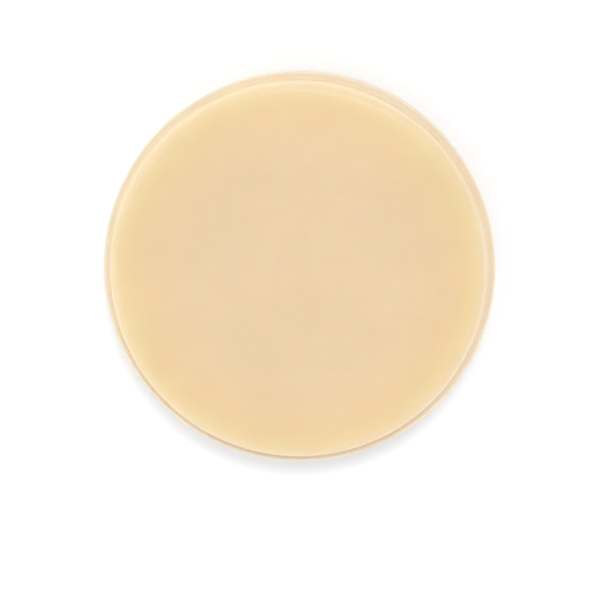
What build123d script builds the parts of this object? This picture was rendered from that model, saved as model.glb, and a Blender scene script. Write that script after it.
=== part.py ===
from build123d import *
import os

# Stepped milling disc, modelled lying flat on its lower face.
# All dimensions in millimetres. Origin: centre of the lower face, +Z up the axis.

FLANGE_D = 98.5      # outer diameter of the clamping flange
FLANGE_T = 10.0      # thickness of the clamping flange
BODY_D = 94.2        # diameter of the raised body above and below the flange
STEP_LOWER = 7.5     # raised body below the flange
STEP_UPPER = 7.5     # raised body above the flange
FACE_R = 3.0         # rounding from each flat face into the wall of the raised body
ROOT_R = 0.8         # rounding in the corner between raised body and flange
FLANGE_C = 0.3       # chamfer on both edges of the flange's outer wall

flange_r = FLANGE_D / 2.0
body_r = BODY_D / 2.0
z_flange_low = STEP_LOWER
z_flange_top = STEP_LOWER + FLANGE_T
z_top = STEP_LOWER + FLANGE_T + STEP_UPPER
k = 0.5 ** 0.5       # cosine of 45 degrees, for the middle point of each rounding

# Half section in the XZ plane, from the axis outwards and back to the axis.
with BuildPart() as disc:
    with BuildSketch(Plane.XZ):
        with BuildLine():
            Line((0.0, 0.0), (body_r - FACE_R, 0.0))
            ThreePointArc(
                (body_r - FACE_R, 0.0),
                (body_r - FACE_R + FACE_R * k, FACE_R - FACE_R * k),
                (body_r, FACE_R),
            )
            Line((body_r, FACE_R), (body_r, z_flange_low - ROOT_R))
            ThreePointArc(
                (body_r, z_flange_low - ROOT_R),
                (body_r + ROOT_R - ROOT_R * k, z_flange_low - ROOT_R + ROOT_R * k),
                (body_r + ROOT_R, z_flange_low),
            )
            Line((body_r + ROOT_R, z_flange_low), (flange_r - FLANGE_C, z_flange_low))
            Line((flange_r - FLANGE_C, z_flange_low), (flange_r, z_flange_low + FLANGE_C))
            Line((flange_r, z_flange_low + FLANGE_C), (flange_r, z_flange_top - FLANGE_C))
            Line((flange_r, z_flange_top - FLANGE_C), (flange_r - FLANGE_C, z_flange_top))
            Line((flange_r - FLANGE_C, z_flange_top), (body_r + ROOT_R, z_flange_top))
            ThreePointArc(
                (body_r + ROOT_R, z_flange_top),
                (body_r + ROOT_R - ROOT_R * k, z_flange_top + ROOT_R - ROOT_R * k),
                (body_r, z_flange_top + ROOT_R),
            )
            Line((body_r, z_flange_top + ROOT_R), (body_r, z_top - FACE_R))
            ThreePointArc(
                (body_r, z_top - FACE_R),
                (body_r - FACE_R + FACE_R * k, z_top - FACE_R + FACE_R * k),
                (body_r - FACE_R, z_top),
            )
            Line((body_r - FACE_R, z_top), (0.0, z_top))
            Line((0.0, z_top), (0.0, 0.0))
        make_face()
    revolve(axis=Axis.Z, revolution_arc=360.0)

os.makedirs("parts", exist_ok=True)
export_step(disc.part, "parts/milling_disc.step")

box = disc.part.bounding_box()
print("milling_disc volume mm3:", round(disc.part.volume, 1))
print("milling_disc size mm:", round(box.size.X, 3), round(box.size.Y, 3), round(box.size.Z, 3))
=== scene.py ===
import math

import bpy
from mathutils import Matrix, Vector


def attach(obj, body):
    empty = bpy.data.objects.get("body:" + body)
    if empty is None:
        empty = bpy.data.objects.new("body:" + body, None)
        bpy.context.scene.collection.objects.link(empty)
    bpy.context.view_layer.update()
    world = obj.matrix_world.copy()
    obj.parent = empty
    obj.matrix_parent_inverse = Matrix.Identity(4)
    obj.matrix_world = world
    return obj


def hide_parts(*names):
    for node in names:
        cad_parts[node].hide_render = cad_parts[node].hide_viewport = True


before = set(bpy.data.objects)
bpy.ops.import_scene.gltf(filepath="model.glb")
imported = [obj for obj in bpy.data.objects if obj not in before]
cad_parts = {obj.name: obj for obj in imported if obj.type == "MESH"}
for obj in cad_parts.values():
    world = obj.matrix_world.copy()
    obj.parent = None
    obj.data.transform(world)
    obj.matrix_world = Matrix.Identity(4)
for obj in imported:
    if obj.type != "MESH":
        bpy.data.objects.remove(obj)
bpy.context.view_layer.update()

MM = 0.001

# ---------------------------------------------------------------- dimensions
# The same driving sizes as the CAD model, in millimetres.
FLANGE_R = 49.25
FLANGE_T = 10.0
BODY_R = 47.1
STEP = 7.5
FACE_R = 3.0
ROOT_R = 0.8
FLANGE_C = 0.3
SOFT_R = 0.12          # the turned chamfers have no knife-sharp corners
TOP = 2 * STEP + FLANGE_T

SEGMENTS = 448         # round the axis


# ---------------------------------------------------------------- the disc
def rounded(points, radii, step_deg):
    """Polyline through points, with an arc of the given radius in each corner."""
    out = []
    for i, p in enumerate(points):
        r = radii[i]
        if r == 0.0:
            out.append(p)
            continue
        a = Vector(points[i - 1]) - Vector(p)
        b = Vector(points[i + 1]) - Vector(p)
        a.normalize()
        b.normalize()
        half = a.angle(b) / 2.0
        cut = r / math.tan(half)
        start = Vector(p) + a * cut
        end = Vector(p) + b * cut
        centre = Vector(p) + (a + b).normalized() * (r / math.sin(half))
        u = start - centre
        w = end - centre
        turn = u.angle(w)
        n = max(3, int(math.ceil(math.degrees(turn) / step_deg)))
        for k in range(n + 1):
            t = k / n
            s = math.sin(turn)
            q = u * (math.sin((1.0 - t) * turn) / s) + w * (math.sin(t * turn) / s)
            out.append(tuple(centre + q))
    return out


def divided(points, longest):
    """The same polyline with no stretch longer than longest."""
    out = [points[0]]
    for p, q in zip(points, points[1:]):
        d = math.dist(p, q)
        n = max(1, int(math.ceil(d / longest)))
        for k in range(1, n + 1):
            t = k / n
            out.append((p[0] + (q[0] - p[0]) * t, p[1] + (q[1] - p[1]) * t))
    return out


half_section = rounded(
    [
        (0.0, 0.0),
        (BODY_R, 0.0),
        (BODY_R, STEP),
        (FLANGE_R - FLANGE_C, STEP),
        (FLANGE_R, STEP + FLANGE_C),
        (FLANGE_R, STEP + FLANGE_T - FLANGE_C),
        (FLANGE_R - FLANGE_C, STEP + FLANGE_T),
        (BODY_R, STEP + FLANGE_T),
        (BODY_R, TOP),
        (0.0, TOP),
    ],
    [0.0, FACE_R, ROOT_R, SOFT_R, SOFT_R, SOFT_R, SOFT_R, ROOT_R, FACE_R, 0.0],
    5.0,
)
half_section = divided(half_section, 2.0)


def lathe(name, section):
    """A closed solid of revolution about Z. The section starts and ends on the axis."""
    ring = section[1:-1]
    verts = [(0.0, 0.0, section[0][1] * MM)]
    for r, z in ring:
        for k in range(SEGMENTS):
            a = 2.0 * math.pi * k / SEGMENTS
            verts.append((r * math.cos(a) * MM, r * math.sin(a) * MM, z * MM))
    verts.append((0.0, 0.0, section[-1][1] * MM))
    faces = []
    for k in range(SEGMENTS):
        faces.append((0, 1 + (k + 1) % SEGMENTS, 1 + k))
    for j in range(len(ring) - 1):
        lo = 1 + j * SEGMENTS
        hi = lo + SEGMENTS
        for k in range(SEGMENTS):
            n = (k + 1) % SEGMENTS
            faces.append((lo + k, lo + n, hi + n, hi + k))
    last = 1 + (len(ring) - 1) * SEGMENTS
    tip = len(verts) - 1
    for k in range(SEGMENTS):
        faces.append((last + k, last + (k + 1) % SEGMENTS, tip))
    mesh = bpy.data.meshes.new(name)
    mesh.from_pydata(verts, [], faces)
    mesh.validate()
    mesh.update()
    mesh.polygons.foreach_set("use_smooth", [True] * len(mesh.polygons))
    mesh.update()
    obj = bpy.data.objects.new(name, mesh)
    bpy.context.scene.collection.objects.link(obj)
    return obj


# ---------------------------------------------------------------- materials
class Nodes:
    """Small helper that builds a material's node tree."""

    def __init__(self, name):
        self.mat = bpy.data.materials.new(name)
        self.mat.use_nodes = True
        self.tree = self.mat.node_tree
        self.shader = next(n for n in self.tree.nodes if n.type == "BSDF_PRINCIPLED")

    def add(self, kind, **values):
        node = self.tree.nodes.new(kind)
        for key, value in values.items():
            setattr(node, key, value)
        return node

    def link(self, a, b):
        self.tree.links.new(a, b)

    def math(self, operation, a, b=0.0, clamp=False):
        node = self.add("ShaderNodeMath", operation=operation, use_clamp=clamp)
        for i, v in enumerate((a, b)):
            if isinstance(v, (int, float)):
                node.inputs[i].default_value = v
            else:
                self.link(v, node.inputs[i])
        return node.outputs[0]

    def smooth(self, value, low, high, a=0.0, b=1.0):
        node = self.add("ShaderNodeMapRange", interpolation_type="SMOOTHSTEP")
        self.link(value, node.inputs["Value"])
        node.inputs["From Min"].default_value = low
        node.inputs["From Max"].default_value = high
        node.inputs["To Min"].default_value = a
        node.inputs["To Max"].default_value = b
        return node.outputs["Result"]

    def noise(self, vector, scale, detail=2.0, rough=0.5):
        node = self.add("ShaderNodeTexNoise", noise_dimensions="3D")
        self.link(vector, node.inputs["Vector"])
        node.inputs["Scale"].default_value = scale
        node.inputs["Detail"].default_value = detail
        node.inputs["Roughness"].default_value = rough
        return node.outputs["Fac"]

    def ramp(self, value, stops):
        """Colour by value, straight between stops (position, colour) in 0..1."""
        node = self.add("ShaderNodeValToRGB")
        line = node.color_ramp
        line.interpolation = "LINEAR"
        line.elements[0].position, line.elements[0].color = stops[0]
        line.elements[1].position, line.elements[1].color = stops[-1]
        for position, colour in stops[1:-1]:
            line.elements.new(position).color = colour
        self.link(value, node.inputs["Fac"])
        return node.outputs["Color"]

    def mix(self, factor, a, b, blend="MIX"):
        node = self.add("ShaderNodeMix", data_type="RGBA", blend_type=blend)
        sockets = {s.identifier: s for s in node.inputs}
        for key, v in (("Factor_Float", factor), ("A_Color", a), ("B_Color", b)):
            if isinstance(v, (int, float, tuple)):
                sockets[key].default_value = v
            else:
                self.link(v, sockets[key])
        return next(s for s in node.outputs if s.identifier == "Result_Color")


def srgb(r, g, b):
    def lin(c):
        c /= 255.0
        return c / 12.92 if c <= 0.04045 else ((c + 0.055) / 1.055) ** 2.4

    return (lin(r), lin(g), lin(b), 1.0)


def ivory_polymer():
    n = Nodes("ivory_polymer")
    sh = n.shader
    where = n.add("ShaderNodeTexCoord").outputs["Object"]
    part = n.add("ShaderNodeSeparateXYZ")
    n.link(where, part.inputs[0])
    x, y, z = part.outputs
    radius = n.math("SQRT", n.math("ADD", n.math("MULTIPLY", x, x), n.math("MULTIPLY", y, y)))

    # Towards the rim, where the polymer is thinner to the light, the colour carries painted light:
    # first a little yellower, a painted glow of light through the edge, then, on the round of the edge,
    # paler, a painted highlight.
    stops = [
        (26.0, srgb(218, 195, 161)),
        (38.0, srgb(220, 195, 156)),
        (41.0, srgb(220, 196, 153)),
        (43.4, srgb(221, 200, 156)),
        (44.8, srgb(220, 201, 161)),
        (45.8, srgb(224, 206, 172)),
        (46.9, srgb(238, 217, 182)),
    ]
    # painted light: the yellower band is a painted glow and the paler round of the edge a painted
    # highlight
    base = n.ramp(n.math("MULTIPLY", radius, 20.0), [(mm / 50.0, c) for mm, c in stops])
    # The turned walls and the flange are paler, a painted glow of light through the thin polymer, and a
    # touch greyer where the flange ends in its chamfer, a painted shade along the outer edge.
    height = n.math("ABSOLUTE", n.math("SUBTRACT", z, 0.5 * TOP * MM))
    turned = n.smooth(height, 8.4 * MM, 9.4 * MM, 1.0, 0.0)
    # painted shade: greyer towards the chamfered outer edge of the flange
    rim = n.smooth(radius, 47.3 * MM, 48.5 * MM)
    # painted light: the paler flange colour is a painted glow, and the grey rim colour is painted shade
    flange = n.mix(rim, srgb(238, 222, 188), srgb(220, 208, 189))
    wall = n.smooth(radius, 47.12 * MM, 47.35 * MM, 1.0, 0.0)
    flange = n.mix(wall, flange, srgb(237, 218, 184))
    outside = n.smooth(radius, 49.14 * MM, 49.23 * MM)
    flange = n.mix(outside, flange, srgb(232, 213, 179))
    base = n.mix(turned, base, flange)

    # Cloudy shade of a pressed polymer: broad soft clouds and a finer marbling.
    clouds = n.noise(where, 38.0, 3.0, 0.55)
    marbling = n.noise(where, 240.0, 4.0, 0.6)
    cloudy = n.mix(n.smooth(clouds, 0.34, 0.66), (0.985, 0.985, 0.98, 1.0), (1.015, 1.015, 1.02, 1.0))
    veined = n.mix(n.smooth(marbling, 0.3, 0.7), (0.994, 0.992, 0.985, 1.0), (1.006, 1.008, 1.015, 1.0))
    base = n.mix(1.0, base, cloudy, "MULTIPLY")
    base = n.mix(1.0, base, veined, "MULTIPLY")
    n.link(base, sh.inputs["Base Color"])

    # Satin surface: fine grain, slightly uneven gloss.
    sheen = n.noise(where, 160.0, 5.0, 0.6)
    n.link(n.smooth(sheen, 0.3, 0.7, 0.40, 0.48), sh.inputs["Roughness"])

    grain = n.noise(where, 5200.0, 2.0, 0.5)
    # Faint rings left by the turning tool on the walls and the flange.
    section = n.add("ShaderNodeCombineXYZ")
    n.link(radius, section.inputs["X"])
    n.link(z, section.inputs["Z"])
    rings = n.noise(section.outputs[0], 2600.0, 1.0, 0.5)
    relief = n.math("ADD", grain, n.math("MULTIPLY", n.math("MULTIPLY", rings, turned), 0.8))
    bump = n.add("ShaderNodeBump")
    bump.inputs["Strength"].default_value = 0.12
    bump.inputs["Distance"].default_value = 0.00002
    n.link(relief, bump.inputs["Height"])
    n.link(bump.outputs["Normal"], sh.inputs["Normal"])

    sh.inputs["IOR"].default_value = 1.49
    sh.inputs["Specular IOR Level"].default_value = 0.4
    sh.inputs["Subsurface Weight"].default_value = 1.0
    sh.inputs["Subsurface Radius"].default_value = (1.0, 0.62, 0.34)
    sh.inputs["Subsurface Scale"].default_value = 0.0025
    return n.mat


def floor_material():
    n = Nodes("studio_floor")
    sh = n.shader
    sh.inputs["Base Color"].default_value = (0.86, 0.878, 0.916, 1.0)
    sh.inputs["Emission Color"].default_value = (1.0, 1.0, 1.0, 1.0)
    sh.inputs["Emission Strength"].default_value = 0.03
    sh.inputs["Roughness"].default_value = 0.55
    sh.inputs["Specular IOR Level"].default_value = 0.0
    return n.mat


disc = lathe("milling_disc_body", half_section)
disc.data.materials.append(ivory_polymer())
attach(disc, "root")
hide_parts("milling_disc")

# ---------------------------------------------------------------- studio
mesh = bpy.data.meshes.new("floor")
S = 6.0
mesh.from_pydata([(-S, -S, 0), (S, -S, 0), (S, S, 0), (-S, S, 0)], [], [(0, 1, 2, 3)])
floor = bpy.data.objects.new("floor", mesh)
floor.location = (0.0, 0.0, -0.00003)
bpy.context.scene.collection.objects.link(floor)
floor.data.materials.append(floor_material())

world = bpy.data.worlds.new("studio")
bpy.context.scene.world = world
world.use_nodes = True
wt = world.node_tree
back = next(n for n in wt.nodes if n.type == "BACKGROUND")
# A soft sky made of wide soft boxes: azimuth and height in degrees, tightness,
# strength and tint. Eight stand in a ring above the disc, the rest low beside it.
SKY = 0.249
SOFT_BOXES = [
    (0.0, 40.0, 9.0, 0.47, (1.00, 1.00, 1.04)),
    (45.0, 40.0, 9.0, 0.44, (0.99, 1.00, 1.10)),
    (90.0, 40.0, 9.0, 0.68, (1.00, 1.00, 0.92)),
    (135.0, 40.0, 9.0, 0.84, (1.01, 1.01, 0.92)),
    (180.0, 40.0, 9.0, 0.97, (1.01, 1.01, 0.92)),
    (225.0, 40.0, 9.0, 0.92, (1.00, 1.00, 1.02)),
    (270.0, 40.0, 9.0, 0.66, (1.00, 1.00, 1.06)),
    (315.0, 40.0, 9.0, 1.12, (1.00, 1.00, 1.03)),
    (180.0, 8.0, 14.0, 0.04, (1.00, 1.00, 1.00)),
    (225.0, 8.0, 14.0, 0.08, (1.00, 1.00, 1.00)),
    (270.0, 8.0, 14.0, 0.03, (1.00, 1.00, 1.00)),
    (315.0, 8.0, 14.0, 0.10, (1.00, 1.00, 1.00)),
]
BACKDROP = 1.0


def sky_math(operation, a, b):
    node = wt.nodes.new("ShaderNodeMath")
    node.operation = operation
    for i, v in enumerate((a, b)):
        if isinstance(v, (int, float)):
            node.inputs[i].default_value = v
        else:
            wt.links.new(v, node.inputs[i])
    return node.outputs[0]


def sky_vector(operation, a, b, output="Vector"):
    node = wt.nodes.new("ShaderNodeVectorMath")
    node.operation = operation
    for i, v in enumerate((a, b)):
        socket = node.inputs["Scale"] if operation == "SCALE" and i == 1 else node.inputs[i]
        if isinstance(v, tuple):
            socket.default_value = v
        else:
            wt.links.new(v, socket)
    return node.outputs[output]


heading = wt.nodes.new("ShaderNodeTexCoord").outputs["Generated"]
light = (SKY, SKY, 1.02 * SKY)
for azimuth, height, tight, strength, tint in SOFT_BOXES:
    a, e = math.radians(azimuth), math.radians(height)
    middle = (math.cos(a) * math.cos(e), math.sin(a) * math.cos(e), math.sin(e))
    facing = sky_math("MAXIMUM", sky_vector("DOT_PRODUCT", heading, middle, "Value"), 0.0)
    box = sky_vector("SCALE", tuple(strength * c for c in tint), sky_math("POWER", facing, tight))
    light = sky_vector("ADD", box, light)
# The camera sees a plain white backdrop beyond the floor.
seen_by_camera = wt.nodes.new("ShaderNodeLightPath").outputs["Is Camera Ray"]
choice = wt.nodes.new("ShaderNodeMix")
choice.data_type = "VECTOR"
sockets = {k.identifier: k for k in choice.inputs}
wt.links.new(seen_by_camera, sockets["Factor_Float"])
wt.links.new(light, sockets["A_Vector"])
sockets["B_Vector"].default_value = (BACKDROP, BACKDROP, BACKDROP)
backdrop = next(k for k in choice.outputs if k.identifier == "Result_Vector")
wt.links.new(backdrop, back.inputs["Color"])
back.inputs["Strength"].default_value = 1.0


def key(name, direction, strength, width):
    lamp = bpy.data.lights.new(name, "SUN")
    lamp.energy = strength
    lamp.angle = math.radians(width)
    obj = bpy.data.objects.new(name, lamp)
    obj.rotation_euler = (-Vector(direction)).to_track_quat("-Z", "Y").to_euler()
    bpy.context.scene.collection.objects.link(obj)
    return obj


# A wide soft key from behind the top edge lays the shadow at the bottom of the picture.
key("key", (0.078, 0.366, 0.927), 1.06, 15.0)

# ---------------------------------------------------------------- camera
# Seen almost along the disc's axis, from 1.9 degrees to the right and 6.5 degrees
# towards +Y, with the centre of the flange's upper face at (298.9, 268.3) of 600 x 600.
DIST = 572.6 * MM
TILT_X = math.radians(1.862)
TILT_Y = math.radians(6.464)
FOCAL_PX = 3.9765 * 572.6
AT_PX = (298.87, 268.32)

target = Vector((0.0, 0.0, (STEP + FLANGE_T) * MM))
out = Vector((
    math.sin(TILT_X) * math.cos(TILT_Y),
    math.sin(TILT_Y),
    math.cos(TILT_X) * math.cos(TILT_Y),
))
right = (-out).cross(Vector((0.0, 1.0, 0.0))).normalized()
up = right.cross(-out)
axes = Matrix((right, up, out)).transposed()
seen = Vector(((AT_PX[0] - 300.0) / FOCAL_PX, (300.0 - AT_PX[1]) / FOCAL_PX, -1.0)).normalized()
turn = seen.rotation_difference(Vector((0.0, 0.0, -1.0))).to_matrix()

cam = bpy.data.cameras.new("camera")
cam.sensor_width = 36.0
cam.lens = FOCAL_PX / 600.0 * 36.0
cam.clip_start = 0.01
cam.clip_end = 50.0
camera = bpy.data.objects.new("camera", cam)
camera.matrix_world = Matrix.Translation(target + out * DIST) @ (axes @ turn).to_4x4()
bpy.context.scene.collection.objects.link(camera)
bpy.context.scene.camera = camera

bpy.context.scene.view_settings.view_transform = "Standard"
